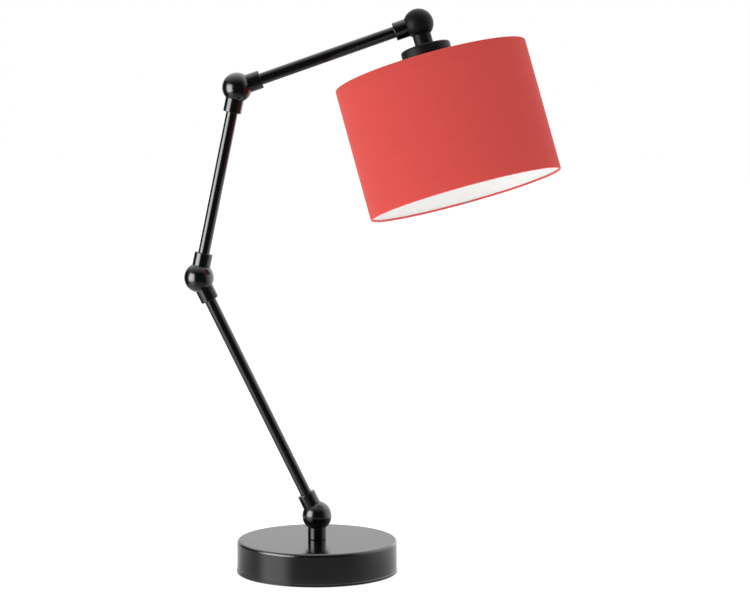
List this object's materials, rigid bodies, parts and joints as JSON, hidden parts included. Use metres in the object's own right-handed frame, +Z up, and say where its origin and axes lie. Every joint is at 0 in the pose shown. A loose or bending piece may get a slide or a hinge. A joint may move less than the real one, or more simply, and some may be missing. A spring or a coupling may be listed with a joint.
{
  "type": "desk lamp",
  "caption": "Adjustable architect desk lamp with a weighted round base, tube arms joined by split-ball swivels, and a drum fabric shade.",
  "frame": {"origin": "centre of the base's underside", "axes": "+Z up; the arms lie in the X-Z plane, the head is over +X and -Y is the front; the cord inlet and the screw heads look to +Y"},
  "size_m": [0.3734, 0.2128, 0.565],
  "materials": {
    "black_paint": "gloss",
    "cast_iron": "matte",
    "foot_pad": "matte",
    "black_rubber": "satin",
    "steel": "satin",
    "friction_fibre": "matte",
    "white_paint": "gloss",
    "black_plastic": "satin",
    "insulator": "gloss",
    "brass": "polished",
    "shade_fabric": "matte",
    "shade_liner": "matte"
  },
  "bodies": {
    "base": {"base_cover": "black_paint", "base_weight": "cast_iron", "base_pad": "foot_pad", "base_nipple": "steel", "base_washer": "steel", "base_lock_nut": "steel", "cord_grommet": "black_rubber", "base_ball_front": "black_paint", "base_friction_disc": "friction_fibre", "base_pivot_screw": "steel", "base_spring_washer": "steel"},
    "lower_arm": {"base_ball_back": "black_paint", "lower_tube": "black_paint", "middle_ball_front": "black_paint", "middle_friction_disc": "friction_fibre", "middle_pivot_screw": "steel", "middle_spring_washer": "steel"},
    "middle_arm": {"middle_ball_back": "black_paint", "middle_tube": "black_paint", "elbow_ball_front": "black_paint", "elbow_friction_disc": "friction_fibre", "elbow_pivot_screw": "steel", "elbow_spring_washer": "steel"},
    "upper_arm": {"elbow_ball_back": "black_paint", "upper_tube": "black_paint", "head_ball_back": "black_paint"},
    "head": {"head_ball_front": "black_paint", "head_friction_disc": "friction_fibre", "head_pivot_screw": "steel", "head_spring_washer": "steel", "holder_cup": "black_paint", "head_nipple": "steel", "head_lock_nut": "steel", "lampholder_cap": "black_plastic", "lampholder_skirt": "black_plastic", "lampholder_insulator": "insulator", "screw_shell": "brass", "centre_contact": "brass", "spider_hub": "white_paint", "spider_arm_1": "white_paint", "spider_arm_2": "white_paint", "spider_arm_3": "white_paint", "spider_rim_wire": "white_paint", "shade_ring_nut": "black_plastic", "shade_rim_wire": "steel", "shade_fabric": "shade_fabric", "shade_liner": "shade_liner"}
  },
  "joints": [
    {"name": "base_tilt", "type": "hinge", "parent": "base", "child": "lower_arm", "pos_m": [0, 0, 0.0569], "axis": [0, 1, 0], "range_deg": [-64, 56]},
    {"name": "middle_bend", "type": "hinge", "parent": "lower_arm", "child": "middle_arm", "pos_m": [-0.11719, 0, 0.29792], "axis": [0, 1, 0], "range_deg": [-127, 30]},
    {"name": "elbow_bend", "type": "hinge", "parent": "middle_arm", "child": "upper_arm", "pos_m": [-0.07814, 0, 0.48713], "axis": [0, 1, 0], "range_deg": [-134, 45]},
    {"name": "head_tilt", "type": "hinge", "parent": "upper_arm", "child": "head", "pos_m": [0.10144, 0, 0.55009], "axis": [0.0539, 0.9866, -0.1538], "range_deg": [-195, 10]}
  ]
}
